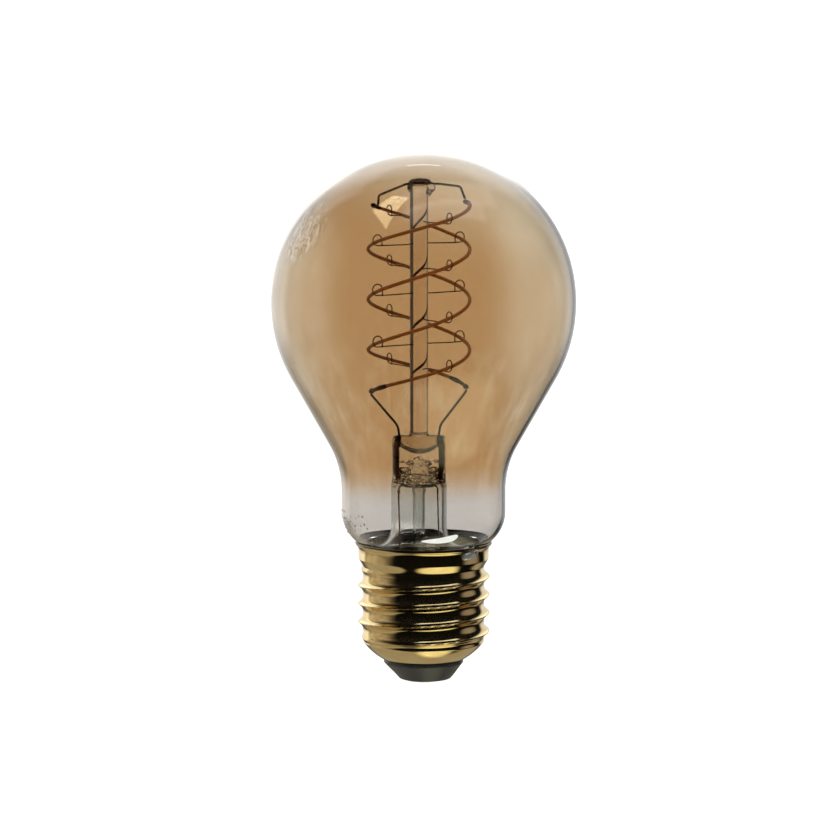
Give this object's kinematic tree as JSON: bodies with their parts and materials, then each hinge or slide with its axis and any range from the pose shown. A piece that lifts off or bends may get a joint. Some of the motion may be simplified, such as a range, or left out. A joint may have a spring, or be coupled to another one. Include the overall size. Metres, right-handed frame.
{
  "type": "light bulb",
  "caption": "Pear shaped smart light bulb: amber coated glass, flexible helical filaments on a glass stem, and a brass screw cap that holds the driver and radio.",
  "frame": {"origin": "centre of the centre contact's flat face, on the axis of the screw cap", "axes": "+Z along the bulb's axis, from the cap towards the globe; -Y is the side seen in the picture"},
  "size_m": [0.06, 0.06, 0.1048],
  "materials": {
    "envelope_glass": "clear glass with a thin amber coating inside, bare below the waist",
    "stem_glass": "clear glass, fire polished",
    "phosphor": "soft silicone with orange phosphor",
    "clip_metal": "darkened crimped strip",
    "support_metal": "drawn wire",
    "copper_wire": "drawn copper",
    "cap_brass": "bright rolled sheet",
    "insulator": "satin black glass",
    "contact_brass": "stamped, slightly worn",
    "solder": "bright tin solder",
    "cement": "rough cured cement",
    "circuit_board": "solder mask",
    "radio_board": "solder mask",
    "shield_metal": "tinned sheet",
    "capacitor_sleeve": "shrunk sleeve",
    "ferrite": "sintered",
    "chip_plastic": "moulded",
    "resistor_body": "lacquered",
    "wire_insulation": "soft insulation"
  },
  "bodies": {
    "root": {"glass_bulb": "envelope_glass", "stem_flare": "stem_glass", "stem_press": "stem_glass", "exhaust_tube": "stem_glass", "support_rod": "stem_glass", "filament_left": "phosphor", "filament_right": "phosphor", "clip_upper_left": "clip_metal", "clip_upper_right": "clip_metal", "clip_lower_left": "clip_metal", "clip_lower_right": "clip_metal", "bridge_wire": "support_metal", "inner_lead_left": "support_metal", "inner_lead_right": "support_metal", "seal_wire_left": "copper_wire", "seal_wire_right": "copper_wire", "outer_lead_left": "copper_wire", "outer_lead_right": "copper_wire", "screw_shell": "cap_brass", "cap_insulator": "insulator", "centre_contact": "contact_brass", "contact_solder": "solder", "side_solder": "solder", "basing_cement": "cement", "driver_board": "circuit_board", "radio_module": "radio_board", "radio_shield": "shield_metal", "radio_antenna": "copper_wire", "smoothing_capacitor": "capacitor_sleeve", "choke_core": "ferrite", "choke_winding": "copper_wire", "bridge_rectifier": "chip_plastic", "driver_chip": "chip_plastic", "fuse_resistor": "resistor_body", "neutral_wire": "solder", "live_wire": "wire_insulation", "support_wire_01": "support_metal", "support_wire_02": "support_metal", "support_wire_03": "support_metal", "support_wire_04": "support_metal", "support_wire_05": "support_metal", "support_wire_06": "support_metal", "support_wire_07": "support_metal", "support_wire_08": "support_metal", "support_wire_09": "support_metal", "support_wire_10": "support_metal", "support_wire_11": "support_metal", "support_wire_12": "support_metal", "support_wire_13": "support_metal", "support_wire_14": "support_metal"}
  },
  "joints": []
}
